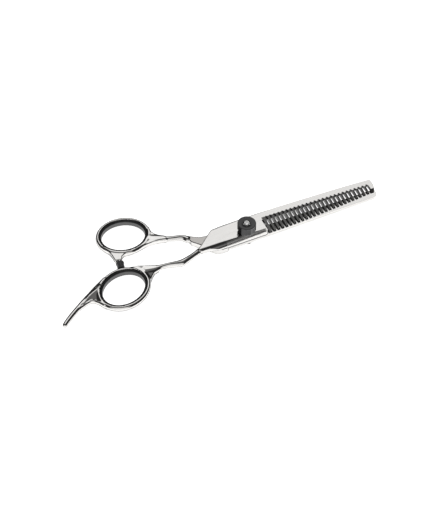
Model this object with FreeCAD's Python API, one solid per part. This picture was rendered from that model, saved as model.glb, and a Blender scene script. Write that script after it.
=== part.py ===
import FreeCAD, Part
import math
import os

from FreeCAD import Vector

# Hair thinning shears, 6 inch class, closed and lying on a table. Millimetres.
# Origin: on the pivot axis, on the flat underside of the pivot screw's head.
# +X runs along the blades to their tips, +Y to the comb's spine side, +Z up.

# ---- driving dimensions: heights ----
HEAD_THICKNESS = 0.6
BLADE_THICKNESS = 3.0
BLADE_GAP = 0.05
EDGE_BOTTOM = HEAD_THICKNESS
EDGE_TOP = EDGE_BOTTOM + BLADE_THICKNESS
COMB_BOTTOM = EDGE_TOP + BLADE_GAP
COMB_TOP = COMB_BOTTOM + 2.95
COMB_TIP_TOP = 5.25
EDGE_TIP_BOTTOM = 1.9

# ---- driving dimensions: blades in plan ----
JOINT_X = -12.0            # plane where each blade is welded to its handle
TIP_X = 71.2
SPINE_Y = 8.4
LOWER_Y = -3.8             # the two halves share this lower edge near the pivot
TOOTH_PITCH = 2.225
SLOT_WIDTH = 1.12
SLOT_COUNT = 27
FIRST_SLOT_X = 10.6
FIRST_SLOT_SHIFT = -0.35   # the shallow first slot stands a little nearer the pivot
FIRST_SLOT_GULLET_Y = 3.4
RELIEF_WIDTH = 0.9         # relief along the comb's far edge
RELIEF_SLOPE = 0.45
RELIEF_END_X = 24.0
TIP_NOTCH_DEPTH = 0.45
TIP_NOTCH_WIDTH = 0.7

# ---- driving dimensions: finger rings ----
RING_MID_Z = 2.3
RING_HALF_WIDTH = 1.05
RING_HALF_HEIGHT = 1.6
RING_OFFSET = 0.8          # metal section centre, outside the rubber rim line
END_BALL_INSET = 0.08
RIM_HALF_WIDTH = 0.58
RIM_HALF_HEIGHT = 0.45
RIM_TOP_Z = 3.35
THUMB_RING = {"centre": (-54.5, 25.5), "semi": (11.35, 9.8), "tilt": -8.0}
FINGER_RING = {"centre": (-67.1, -5.8), "semi": (11.9, 9.65), "tilt": 27.0}

# ---- handle stations: x, y, z of the centre line, half width, half height ----
FINGER_SHANK = [
    (-22.0, 0.2, 5.10, 1.7, 1.4),
    (-24.8, -0.9, 5.00, 1.6, 1.5),
    (-28.9, -2.0, 4.45, 1.45, 1.5),
    (-33.2, -2.8, 3.65, 1.6, 1.6),
    (-36.0, -3.1, 3.25, 1.9, 1.65),
    (-38.8, -2.3, 2.90, 1.55, 1.6),
    (-42.0, -1.3, 2.60, 1.3, 1.45),
    (-45.5, -0.7, 2.40, 1.35, 1.4),
    (-49.0, -0.4, 2.30, 1.9, 1.4),
    (-53.0, 0.4, 2.30, 2.0, 1.4),
]
FINGER_REST = [
    (-73.5, 3.0, 2.30, 1.3, 1.4),
    (-78.0, 0.2, 2.30, 1.7, 1.45),
    (-82.0, -2.4, 2.25, 1.8, 1.4),
    (-86.0, -4.6, 2.20, 1.6, 1.3),
    (-90.0, -7.0, 2.10, 1.4, 1.2),
    (-94.5, -9.95, 2.00, 1.35, 1.2),
    (-98.5, -12.95, 1.95, 1.3, 1.2),
    (-100.2, -14.4, 1.90, 1.2, 1.15),
]
THUMB_SHANK = [
    (-22.5, 5.9, 2.15, 1.6, 1.4),
    (-25.2, 9.3, 2.45, 1.8, 1.6),
    (-28.9, 12.2, 2.60, 1.5, 1.7),
    (-33.0, 13.9, 2.45, 1.45, 1.4),
    (-36.5, 15.2, 2.35, 1.5, 1.35),
    (-40.0, 16.8, 2.30, 2.0, 1.4),
    (-44.0, 18.6, 2.30, 2.2, 1.4),
]

# ---- flat webs that fill the corners where bars meet rings: plan points (x, y) ----
WEB_BOTTOM = 1.0
WEB_TOP = 3.5
FINGER_WEB_OUTER = [(-47.5, 0.9), (-49.5, 1.5), (-52.7, 2.7), (-55.9, 3.8), (-59.0, 4.2)]
FINGER_WEB_INNER = [(-53.6, -6.4), (-52.6, -5.3), (-51.4, -3.9), (-49.8, -2.6), (-47.5, -2.0)]
REST_WEB = [(-88.0, -6.9), (-85.0, -6.1), (-82.4, -6.3), (-80.6, -8.0), (-79.5, -10.6), (-78.6, -12.8)]
REST_WEB_BACK = [(-76.5, -8.0), (-76.0, 0.0), (-84.0, -3.6)]
THUMB_WEB_OUTER = [(-36.5, 16.3), (-38.4, 17.5), (-40.4, 19.4), (-41.4, 21.6), (-41.4, 24.6)]
THUMB_WEB_INNER = [(-52.0, 14.2), (-47.4, 14.8), (-43.5, 15.1), (-39.9, 14.7), (-36.5, 13.9)]
LUG_OUTER = [(-66.4, 22.0), (-65.3, 19.2), (-64.6, 15.8), (-64.4, 11.6)]
LUG_INNER = [(-60.9, 10.9), (-60.3, 12.7), (-58.1, 13.9), (-54.5, 13.95)]

# ---- driving dimensions: pivot and tension adjuster ----
SCREW_HEAD_R = 3.4
SCREW_NECK_R = 2.0
SCREW_NECK_FLAT = 1.6
SCREW_SHAFT_R = 1.8
SCREW_SHOULDER_Z = 6.35
THREAD_R = 1.25
THREAD_FLAT = 0.95
SCREW_END_Z = 11.9
RUNNING_CLEARANCE = 0.03
BUSH_R = 2.4
BUSH_TOP_Z = 6.5
GLIDE_R = 3.3
GLIDE_RECESS = 0.35
WASHER_R = 3.1
WASHER_BOTTOM = COMB_TOP + 0.02
WASHER_THICKNESS = 0.3
SPRING_BOTTOM = WASHER_BOTTOM + WASHER_THICKNESS + 0.02
SPRING_HEIGHT = 0.9
SPRING_GAUGE = 0.22
PLATE_BOTTOM = SPRING_BOTTOM + SPRING_HEIGHT + 0.03
PLATE_THICKNESS = 0.35
DETENT_COUNT = 12
DETENT_R = 0.3
BALL_R = 0.4
BALL_CIRCLE_R = 2.7
BALL_COUNT = 2
KNOB_R = 4.55
KNOB_BOTTOM = 6.95
KNOB_TOP = 12.2
KNOB_CAVITY_R = 3.3
KNOB_FLUTES = 12
CORE_R = 2.1
RECESS_R = 1.75
RECESS_FLOOR = 11.3
DISH_R = 3.3
DISH_DEPTH = 0.5
CAP_HEAD_R = 1.4
CAP_TOP = 13.2
CAP_SHANK_R = 0.55

# ---- driving dimensions: bumper ----
BUMPER_START = Vector(-62.35, 11.0, RING_MID_Z)
BUMPER_DIRECTION = Vector(-0.21, -1.0, 0.0)
COLLAR_LENGTH = 0.7
COLLAR_R = 1.45
STUD_R = 0.8
STUD_DEPTH = 2.6
PAD_LENGTH = 3.9
PAD_R = 1.85
PAD_FLANGE_R = 2.05
PAD_FLANGE_LENGTH = 1.0


def at(points, z):
    """Plan points (x, y) as vectors at height z."""
    return [Vector(x, y, z) for x, y in points]


def polygon(vectors):
    """A closed wire through the vectors."""
    return Part.makePolygon(list(vectors) + [vectors[0]])


def prism(wire, direction):
    """The solid swept by the wire's face along a vector."""
    return Part.Face(wire).extrude(direction)


def disc(radius, bottom, top):
    """A cylinder about the pivot axis."""
    return Part.makeCylinder(radius, top - bottom, Vector(0, 0, bottom))


def tube(outer, inner, bottom, top):
    """A round washer or sleeve about the pivot axis."""
    return disc(outer, bottom, top).cut(disc(inner, bottom - 1.0, top + 1.0))


def flatted(radius, flat, bottom, top, flats):
    """A cylinder about the pivot axis with one or two flats across X."""
    keep = Part.makeBox(2 * flat, 4 * radius, top - bottom, Vector(-flat, -2 * radius, bottom))
    if flats == 1:
        side = Part.makeBox(2 * radius + flat, 4 * radius, top - bottom, Vector(-2 * radius, -2 * radius, bottom))
        keep = side
    return disc(radius, bottom, top).common(keep)


def spline(vectors):
    """A smooth edge through the vectors."""
    curve = Part.BSplineCurve()
    curve.interpolate(list(vectors))
    return curve.toShape()


def arc(first, middle, last):
    """A circular edge through three points."""
    return Part.Arc(first, middle, last).toShape()


def ruled_between(first, last):
    """The straight-sided solid between two wires with the same corners."""
    return Part.makeLoft([first, last], True, True)


# ---- rings and handle sections ----

def ring_path(ring, height):
    """The rim line of a finger ring as a closed ellipse."""
    semi_long, semi_short = ring["semi"]
    ellipse = Part.Ellipse(Vector(0, 0, 0), semi_long, semi_short)
    path = Part.Wire([ellipse.toShape()])
    path.rotate(Vector(0, 0, 0), Vector(0, 0, 1), ring["tilt"])
    path.translate(Vector(ring["centre"][0], ring["centre"][1], height))
    return path


def ring_point(ring, outward, height):
    """A point beside the start of the rim line, moved outward from it."""
    tilt = math.radians(ring["tilt"])
    reach = ring["semi"][0] + outward
    x = ring["centre"][0] + reach * math.cos(tilt)
    y = ring["centre"][1] + reach * math.sin(tilt)
    return Vector(x, y, height)


def ring_tangent(ring):
    """The direction of the rim line at its start."""
    tilt = math.radians(ring["tilt"])
    return Vector(-math.sin(tilt), math.cos(tilt), 0)


def swept_ring(ring, section, height):
    """The solid that a closed section makes round a rim line."""
    return ring_path(ring, height).makePipeShell([section], True, True)


def ring_metal(ring):
    """The forged loop, an oval section carried round the hole."""
    oval = Part.Ellipse(Vector(0, 0, 0), RING_HALF_HEIGHT, RING_HALF_WIDTH)
    section = Part.Wire([oval.toShape()])
    section.Placement = section_placement(
        ring_point(ring, RING_OFFSET, RING_MID_Z), ring_tangent(ring)
    )
    return swept_ring(ring, section, RING_MID_Z)


def ring_hole(ring):
    """The clear space inside a finger ring, which nothing of the handle may enter."""
    semi_long, semi_short = ring["semi"]
    inset = 0.3
    ellipse = Part.Ellipse(Vector(0, 0, 0), semi_long - inset, semi_short - inset)
    plug = prism(Part.Wire([ellipse.toShape()]), Vector(0, 0, 8.0))
    plug.rotate(Vector(0, 0, 0), Vector(0, 0, 1), ring["tilt"])
    plug.translate(Vector(ring["centre"][0], ring["centre"][1], -1.0))
    return plug


def section_placement(centre, normal):
    """Puts an XY shape across a horizontal direction, with its X axis pointing up."""
    across = Vector(0, 0, 1).cross(normal).normalize()
    matrix = FreeCAD.Matrix(
        0, -across.x, normal.x, centre.x,
        0, -across.y, normal.y, centre.y,
        1, 0, normal.z, centre.z,
        0, 0, 0, 1,
    )
    return FreeCAD.Placement(matrix)


def insert_section(ring):
    """Half-round beads above and below a thin wall that lines the hole."""
    wall_inner = -RIM_HALF_WIDTH
    wall_outer = RING_OFFSET - RING_HALF_WIDTH + 0.02
    upper = RIM_TOP_Z - RIM_HALF_HEIGHT
    lower = RIM_HALF_HEIGHT
    corners = {
        "upper_in": ring_point(ring, wall_inner, upper),
        "upper_top": ring_point(ring, 0.0, RIM_TOP_Z),
        "upper_out": ring_point(ring, RIM_HALF_WIDTH, upper),
        "wall_top": ring_point(ring, wall_outer, upper - 0.3),
        "wall_low": ring_point(ring, wall_outer, lower + 0.45),
        "lower_out": ring_point(ring, RIM_HALF_WIDTH, lower),
        "lower_low": ring_point(ring, 0.0, 0.0),
        "lower_in": ring_point(ring, wall_inner, lower),
    }
    edges = [
        arc(corners["upper_in"], corners["upper_top"], corners["upper_out"]),
        Part.makeLine(corners["upper_out"], corners["wall_top"]),
        Part.makeLine(corners["wall_top"], corners["wall_low"]),
        Part.makeLine(corners["wall_low"], corners["lower_out"]),
        arc(corners["lower_out"], corners["lower_low"], corners["lower_in"]),
        Part.makeLine(corners["lower_in"], corners["upper_in"]),
    ]
    return Part.Wire(edges)


def rubber_insert(ring):
    """The sizing ring that presses into a finger ring."""
    return swept_ring(ring, insert_section(ring), RING_MID_Z)


def oval_section(station, direction):
    """The oval cross-section of a shank at one station."""
    x, y, z, half_width, half_height = station
    if half_height >= half_width:
        oval = Part.Ellipse(Vector(0, 0, 0), half_height, half_width)
        wire = Part.Wire([oval.toShape()])
    else:
        oval = Part.Ellipse(Vector(0, 0, 0), half_width, half_height)
        wire = Part.Wire([oval.toShape()])
        wire.rotate(Vector(0, 0, 0), Vector(0, 0, 1), 90)
    wire.Placement = section_placement(Vector(x, y, z), direction).multiply(wire.Placement)
    return wire


def shank(stations):
    """A smooth bar through oval stations."""
    sections = []
    for index, station in enumerate(stations):
        before = stations[max(index - 1, 0)]
        after = stations[min(index + 1, len(stations) - 1)]
        along = Vector(after[0] - before[0], after[1] - before[1], 0).normalize()
        sections.append(oval_section(station, along))
    return Part.makeLoft(sections, True, False)


def end_ball(station):
    """The rounded end of a bar."""
    x, y, z, half_width, half_height = station
    return Part.makeSphere(min(half_width, half_height) - END_BALL_INSET, Vector(x, y, z))


# ---- the flat stock of each half near the pivot ----

def flank_cutter(x_start, x_end, top_y_start, top_y_end, top_z, foot_z):
    """What the rounded lower flank of a half takes off its square edge."""
    wires = []
    for x, top_y in ((x_start, top_y_start), (x_end, top_y_end)):
        crest = Vector(x, top_y, top_z)
        foot = Vector(x, LOWER_Y, foot_z)
        bulge = Vector(x, top_y * 0.35 + LOWER_Y * 0.65, top_z * 0.55 + foot_z * 0.45)
        below = Vector(x, LOWER_Y - 1.0, foot_z)
        above = Vector(x, LOWER_Y - 1.0, top_z + (1.0 if top_z > foot_z else -1.0))
        over = Vector(x, top_y, above.z)
        wires.append(Part.Wire([
            arc(crest, bulge, foot),
            Part.makeLine(foot, below),
            Part.makeLine(below, above),
            Part.makeLine(above, over),
            Part.makeLine(over, crest),
        ]))
    return ruled_between(wires[0], wires[1])


def tooth_tip_y(x):
    """The line of the comb's tooth tips, nearer the spine towards the end."""
    along = (x - FIRST_SLOT_X) / (TIP_X - FIRST_SLOT_X)
    return -3.75 + 1.9 * along + 1.6 * along ** 3


def gullet_y(x):
    """The line of the slot bottoms."""
    return 5.1 - 0.6 * max(0.0, x - 30.0) / 32.0


def comb_top_z(x):
    """The comb's upper face, which thins towards the tip."""
    along = max(0.0, (x - FIRST_SLOT_X) / (TIP_X - FIRST_SLOT_X))
    return COMB_TOP - (COMB_TOP - COMB_TIP_TOP) * along


def comb_blank():
    """The comb blade's plan shape at full thickness."""
    z = COMB_BOTTOM
    spine_points = [(JOINT_X, SPINE_Y), (10, 8.45), (30, 8.15), (50, 7.75), (62, 7.35), (TIP_X + 0.6, 6.8)]
    spine = spline(at(spine_points, z))
    teeth_x = [TIP_X - 0.5, 50.0, 30.0, FIRST_SLOT_X - 1.6]
    tips = spline(at([(x, tooth_tip_y(x)) for x in teeth_x], z))
    ends = at([spine_points[0], spine_points[-1], (TIP_X + 0.75, 4.0), (TIP_X - 0.05, 0.7)], z)
    first_tip = Vector(teeth_x[0], tooth_tip_y(teeth_x[0]), z)
    last_tip = Vector(teeth_x[-1], tooth_tip_y(teeth_x[-1]), z)
    heel = Vector(teeth_x[-1], LOWER_Y, z)
    joint_low = Vector(JOINT_X, LOWER_Y, z)
    outline = Part.Wire([
        spine,
        arc(ends[1], ends[2], ends[3]),
        Part.makeLine(ends[3], first_tip),
        tips,
        Part.makeLine(last_tip, heel),
        Part.makeLine(heel, joint_low),
        Part.makeLine(joint_low, ends[0]),
    ])
    return prism(outline, Vector(0, 0, COMB_TOP - COMB_BOTTOM))


def comb_thinning():
    """What the taper of the upper face takes off."""
    start = FIRST_SLOT_X
    end = TIP_X + 3.0
    profile = polygon([
        Vector(start, -9, COMB_TOP),
        Vector(end, -9, comb_top_z(end)),
        Vector(end, -9, COMB_TOP + 2),
        Vector(start, -9, COMB_TOP + 2),
    ])
    return prism(profile, Vector(0, 20, 0))


def bevel_end():
    """Where the long bevel stops, just past the last slot."""
    return FIRST_SLOT_X + (SLOT_COUNT - 1) * TOOTH_PITCH + SLOT_WIDTH / 2 + 0.3


def end_tooth_facet():
    """What the short steep facet on the end tooth takes off."""
    x = bevel_end()
    top = comb_top_z(TIP_X)
    tip_y = tooth_tip_y(x)
    profile = polygon([
        Vector(x, tip_y + 1.2, top + 0.1),
        Vector(x, tip_y - 0.8, top - 1.8),
        Vector(x, tip_y - 0.8, top + 2.0),
        Vector(x, tip_y + 1.2, top + 2.0),
    ])
    return prism(profile, Vector(6, 0, 0))


def comb_bevel():
    """What the long bevel on the teeth takes off, from near the slot bottoms to the tips."""
    wires = []
    start = FIRST_SLOT_X + FIRST_SLOT_SHIFT
    for x, tip_thickness, above_gullet in ((start, 0.75, -0.2), (bevel_end(), 0.45, -0.9)):
        crest_y = gullet_y(x) + above_gullet
        crest_z = comb_top_z(x)
        tip_y = tooth_tip_y(x)
        tip_z = COMB_BOTTOM + tip_thickness
        slope = (crest_z - tip_z) / (crest_y - tip_y)
        low_y = tip_y - 3.0
        wires.append(polygon([
            Vector(x, crest_y, crest_z),
            Vector(x, low_y, tip_z - slope * 3.0),
            Vector(x, low_y, COMB_TOP + 3),
            Vector(x, crest_y, COMB_TOP + 3),
        ]))
    return ruled_between(wires[0], wires[1])


def slot_cutter(index):
    """One gap between two teeth, with a round bottom."""
    x = FIRST_SLOT_X + index * TOOTH_PITCH + (FIRST_SLOT_SHIFT if index == 0 else 0.0)
    bottom = FIRST_SLOT_GULLET_Y if index == 0 else gullet_y(x)
    radius = SLOT_WIDTH / 2
    low = tooth_tip_y(x) - 2.0
    height = COMB_TOP - COMB_BOTTOM + 2.0
    box = Part.makeBox(SLOT_WIDTH, bottom - radius - low, height, Vector(x - radius, low, COMB_BOTTOM - 1.0))
    round_end = Part.makeCylinder(radius, height, Vector(x, bottom - radius, COMB_BOTTOM - 1.0))
    return box.fuse(round_end)


def tip_notch(index):
    """The small V in the end of one tooth that grips the hair."""
    x = FIRST_SLOT_X + (index + 0.5) * TOOTH_PITCH
    tip = tooth_tip_y(x)
    outline = polygon(at([
        (x - TIP_NOTCH_WIDTH / 2, tip - 0.15),
        (x, tip + TIP_NOTCH_DEPTH),
        (x + TIP_NOTCH_WIDTH / 2, tip - 0.15),
    ], COMB_BOTTOM - 1.0))
    return prism(outline, Vector(0, 0, 4.0))


def spine_relief():
    """The shallow relief along the comb's far edge, which fades out past the knob."""
    wires = []
    for x, width in ((-18.0, RELIEF_WIDTH), (RELIEF_END_X, 0.02)):
        inner = SPINE_Y - width
        wires.append(polygon([
            Vector(x, inner, COMB_TOP),
            Vector(x, SPINE_Y + 1.0, COMB_TOP - RELIEF_SLOPE * (width + 1.0)),
            Vector(x, SPINE_Y + 1.0, COMB_TOP + 1.0),
            Vector(x, inner, COMB_TOP + 1.0),
        ]))
    return ruled_between(wires[0], wires[1])


def comb_blade():
    """The toothed blade, which lies on top."""
    openings = [slot_cutter(index) for index in range(SLOT_COUNT)]
    openings += [tip_notch(index) for index in range(SLOT_COUNT - 1)]
    openings.append(disc(BUSH_R, COMB_BOTTOM - 1.0, COMB_TOP + 1.0))
    openings.append(disc(GLIDE_R, COMB_BOTTOM - 1.0, COMB_BOTTOM + GLIDE_RECESS))
    blade = comb_blank().cut(openings)
    flank = flank_cutter(JOINT_X - 1.0, FIRST_SLOT_X - 1.4, -1.6, -2.4, COMB_TOP, COMB_BOTTOM + 0.2)
    for taken in (comb_thinning(), comb_bevel(), end_tooth_facet(), spine_relief(), flank):
        blade = blade.cut(taken)
    return blade


def edge_blank():
    """The plain blade's plan shape at full thickness."""
    z = EDGE_BOTTOM
    start, heel_top = at([(JOINT_X, 7.6), (2.0, 7.0)], z)
    heel = spline([heel_top, Vector(6.2, 5.4, z), Vector(8.6, 2.9, z), Vector(12.0, 1.8, z)])
    edge_end, end_low, corner, spine_end, joint_low = at(
        [(TIP_X + 0.3, 1.1), (TIP_X + 0.2, -0.9), (TIP_X - 0.6, -2.9), (TIP_X - 2.6, LOWER_Y), (JOINT_X, LOWER_Y)],
        z,
    )
    spine_mid = Vector(40.0, LOWER_Y, z)
    outline = Part.Wire([
        Part.makeLine(start, heel_top),
        heel,
        Part.makeLine(Vector(12.0, 1.8, z), edge_end),
        Part.makeLine(edge_end, end_low),
        arc(end_low, corner, spine_end),
        Part.makeLine(spine_end, spine_mid),
        Part.makeLine(spine_mid, joint_low),
        Part.makeLine(joint_low, start),
    ])
    return prism(outline, Vector(0, 0, EDGE_TOP - EDGE_BOTTOM))


def edge_grind():
    """What the hollow outer bevel takes off below, from the spine up to the cutting edge."""
    wires = []
    for x, spine_z in ((7.0, EDGE_BOTTOM), (TIP_X + 1.0, EDGE_TIP_BOTTOM)):
        wires.append(polygon([
            Vector(x, -2.2, spine_z),
            Vector(x, 2.4, EDGE_TOP - 0.3),
            Vector(x, 9.0, EDGE_TOP - 0.3),
            Vector(x, 9.0, -1.0),
            Vector(x, -2.2, -1.0),
        ]))
    return ruled_between(wires[0], wires[1])


def edge_thinning():
    """What the taper of the outer face takes off."""
    profile = polygon([
        Vector(7.0, -9, EDGE_BOTTOM),
        Vector(TIP_X + 1.0, -9, EDGE_TIP_BOTTOM),
        Vector(TIP_X + 1.0, -9, -1),
        Vector(7.0, -9, -1),
    ])
    return prism(profile, Vector(0, 20, 0))


def edge_blade():
    """The plain cutting blade, which lies underneath and holds the pivot screw."""
    blade = edge_blank().cut(edge_thinning()).cut(edge_grind())
    flank = flank_cutter(JOINT_X - 1.0, TIP_X + 1.0, -3.2, -3.2, EDGE_BOTTOM, EDGE_TOP - 0.3)
    neck = flatted(SCREW_NECK_R, SCREW_NECK_FLAT, EDGE_BOTTOM - 1.0, EDGE_TOP + 1.0, 2)
    return blade.cut(flank).cut(neck)


def finger_stock():
    """The flat end of the finger handle, welded to the comb blade."""
    outline = polygon(at([
        (JOINT_X, SPINE_Y), (-15.3, 8.0), (-16.8, 6.9), (-24.2, 0.6), (-26.0, -1.2),
        (-25.0, -2.4), (-21.5, -2.5), (-18.6, -3.2), (-16.2, LOWER_Y), (JOINT_X, LOWER_Y),
    ], COMB_BOTTOM))
    stock = prism(outline, Vector(0, 0, COMB_TOP - COMB_BOTTOM))
    stock = stock.cut(spine_relief())
    return stock.cut(flank_cutter(-30.0, JOINT_X + 1.0, -1.3, -1.64, COMB_TOP, COMB_BOTTOM + 0.2))


def web(edges, back=()):
    """A flat web between smooth edges, which follow each other round its outline."""
    sides = [spline(at(points, WEB_BOTTOM)) for points in edges]
    last = at([edges[-1][-1]], WEB_BOTTOM)[0]
    first = at([edges[0][0]], WEB_BOTTOM)[0]
    joints = []
    for before, after in zip(edges, edges[1:]):
        joints.append(Part.makeLine(at([before[-1]], WEB_BOTTOM)[0], at([after[0]], WEB_BOTTOM)[0]))
    closing = [last] + at(back, WEB_BOTTOM) + [first]
    for start, end in zip(closing, closing[1:]):
        joints.append(Part.makeLine(start, end))
    outline = Part.Wire(Part.__sortEdges__(sides + joints))
    return prism(outline, Vector(0, 0, WEB_TOP - WEB_BOTTOM))


def finger_handle(insert):
    """Shank, finger ring and finger rest, forged in one piece."""
    rest = shank(FINGER_REST).fuse(end_ball(FINGER_REST[-1]))
    body = ring_metal(FINGER_RING).fuse(shank(FINGER_SHANK)).fuse(rest).fuse(finger_stock())
    webs = [web([FINGER_WEB_OUTER, FINGER_WEB_INNER]), web([REST_WEB], REST_WEB_BACK)]
    for piece in webs:
        body = body.fuse(piece)
    return body.cut(ring_hole(FINGER_RING)).cut(insert)


def thumb_stock():
    """The flat end of the thumb handle, welded to the plain blade."""
    z = EDGE_BOTTOM
    corners = at([
        (JOINT_X, 7.6), (-18.5, 8.0), (-21.5, 8.6), (-24.6, 10.6), (-27.2, 12.4),
        (-26.2, 7.2), (-23.4, 4.0), (-18.8, -1.4), (-14.9, LOWER_Y), (JOINT_X, LOWER_Y),
    ], z)
    heel = arc(corners[7], Vector(-17.4, -3.2, z), corners[8])
    lines = [Part.makeLine(corners[i], corners[i + 1]) for i in range(7)]
    outline = Part.Wire(lines + [heel, Part.makeLine(corners[8], corners[9]), Part.makeLine(corners[9], corners[0])])
    stock = prism(outline, Vector(0, 0, EDGE_TOP - EDGE_BOTTOM))
    return stock.cut(flank_cutter(-30.0, JOINT_X + 1.0, -3.2, -3.2, EDGE_BOTTOM, EDGE_TOP - 0.3))


def thumb_handle(insert, stud):
    """Shank, thumb ring and bumper lug, forged in one piece."""
    body = ring_metal(THUMB_RING).fuse(shank(THUMB_SHANK)).fuse(thumb_stock())
    for piece in (web([THUMB_WEB_OUTER, THUMB_WEB_INNER]), web([LUG_OUTER, LUG_INNER])):
        body = body.fuse(piece)
    return body.cut(ring_hole(THUMB_RING)).cut(insert).cut(stud)


# ---- bumper between the rings ----

def along_bumper(radius, start, length):
    """A cylinder on the bumper's axis."""
    direction = Vector(BUMPER_DIRECTION).normalize()
    return Part.makeCylinder(radius, length, BUMPER_START + direction * start, direction)


def bumper_stud():
    """The steel stud that screws into the lug, with the collar the pad sits on."""
    thread = along_bumper(STUD_R, -STUD_DEPTH, STUD_DEPTH)
    collar = along_bumper(COLLAR_R, 0.0, COLLAR_LENGTH)
    spigot = along_bumper(STUD_R, COLLAR_LENGTH, 1.6)
    return thread.fuse([collar, spigot])


def bumper_pad(stud):
    """The rubber pad that the finger ring closes against."""
    flange = along_bumper(PAD_FLANGE_R, COLLAR_LENGTH, PAD_FLANGE_LENGTH)
    body = along_bumper(PAD_R, COLLAR_LENGTH, PAD_LENGTH)
    return flange.fuse(body).cut(stud)


# ---- pivot and tension adjuster ----

def pivot_screw():
    """The keyed screw that everything turns on."""
    head = disc(SCREW_HEAD_R, 0.0, HEAD_THICKNESS)
    rim = [edge for edge in head.Edges if abs(edge.BoundBox.ZMax) < 0.01 and edge.BoundBox.XLength > SCREW_HEAD_R]
    head = head.makeChamfer(0.2, rim)
    neck = flatted(SCREW_NECK_R, SCREW_NECK_FLAT, HEAD_THICKNESS, EDGE_TOP, 2)
    shaft = disc(SCREW_SHAFT_R, EDGE_TOP, SCREW_SHOULDER_Z)
    thread = flatted(THREAD_R, THREAD_FLAT, SCREW_SHOULDER_Z, SCREW_END_Z, 1)
    tapped = disc(CAP_SHANK_R, 8.4, SCREW_END_Z + 1.0)
    spanner = [Part.makeCylinder(0.45, 0.35, Vector(0, side * 2.2, 0)) for side in (-1, 1)]
    return head.fuse([neck, shaft, thread]).cut([tapped] + spanner)


def pivot_bush():
    """The sleeve pressed into the comb blade, which turns on the screw."""
    return tube(BUSH_R, SCREW_SHAFT_R + RUNNING_CLEARANCE, COMB_BOTTOM + GLIDE_RECESS, BUSH_TOP_Z)


def glide_washer():
    """The low-friction washer let into the comb blade's inner face."""
    inner = SCREW_SHAFT_R + RUNNING_CLEARANCE
    return tube(GLIDE_R, inner, EDGE_TOP + 0.02, COMB_BOTTOM + GLIDE_RECESS)


def keyed_hole(bottom, top):
    """The D-shaped hole that fits over the threaded end and stops a plate turning."""
    return flatted(THREAD_R + RUNNING_CLEARANCE, THREAD_FLAT + RUNNING_CLEARANCE, bottom - 1.0, top + 1.0, 1)


def base_washer():
    """The keyed washer that rubs on the comb blade."""
    top = WASHER_BOTTOM + WASHER_THICKNESS
    return disc(WASHER_R, WASHER_BOTTOM, top).cut(keyed_hole(WASHER_BOTTOM, top))


def tension_spring():
    """The dished spring washer between the base washer and the click plate."""
    inner, outer = THREAD_R + 0.35, WASHER_R - 0.1
    top = SPRING_BOTTOM + SPRING_HEIGHT
    section = polygon([
        Vector(inner, 0, top - SPRING_GAUGE), Vector(outer, 0, SPRING_BOTTOM),
        Vector(outer, 0, SPRING_BOTTOM + SPRING_GAUGE), Vector(inner, 0, top),
    ])
    return Part.Face(section).revolve(Vector(0, 0, 0), Vector(0, 0, 1), 360)


def click_plate():
    """The keyed plate with a circle of detents, which rides up and down with the knob."""
    top = PLATE_BOTTOM + PLATE_THICKNESS
    plate = disc(WASHER_R, PLATE_BOTTOM, top).cut(keyed_hole(PLATE_BOTTOM, top))
    detents = []
    for index in range(DETENT_COUNT):
        angle = 2 * math.pi * index / DETENT_COUNT
        centre = Vector(BALL_CIRCLE_R * math.cos(angle), BALL_CIRCLE_R * math.sin(angle), top + 0.12)
        detents.append(Part.makeSphere(DETENT_R, centre))
    return plate.cut(detents)


def ball_centres():
    """Where the click balls sit under the knob's ceiling."""
    z = PLATE_BOTTOM + PLATE_THICKNESS + BALL_R + 0.02
    for index in range(BALL_COUNT):
        angle = 2 * math.pi * index / BALL_COUNT
        yield Vector(BALL_CIRCLE_R * math.cos(angle), BALL_CIRCLE_R * math.sin(angle), z)


def click_balls():
    """The balls that snap into the click plate."""
    return Part.makeCompound([Part.makeSphere(BALL_R, centre) for centre in ball_centres()])


def click_springs():
    """One small coil spring behind each ball."""
    coils = []
    coil_r, wire_r, pitch, height = 0.28, 0.06, 0.2, 0.8
    for centre in ball_centres():
        helix = Part.makeHelix(pitch, height, coil_r)
        wire = Part.Wire([Part.Circle(Vector(coil_r, 0, 0), Vector(0, 1, 0), wire_r).toShape()])
        coil = Part.Wire(helix.Edges).makePipeShell([wire], True, True)
        coil.translate(centre + Vector(0, 0, BALL_R + 0.08))
        coils.append(coil)
    return Part.makeCompound(coils)


def knob_core():
    """The threaded brass insert moulded into the knob."""
    return tube(CORE_R, THREAD_R + RUNNING_CLEARANCE, PLATE_BOTTOM + PLATE_THICKNESS + 0.05, RECESS_FLOOR)


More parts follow.
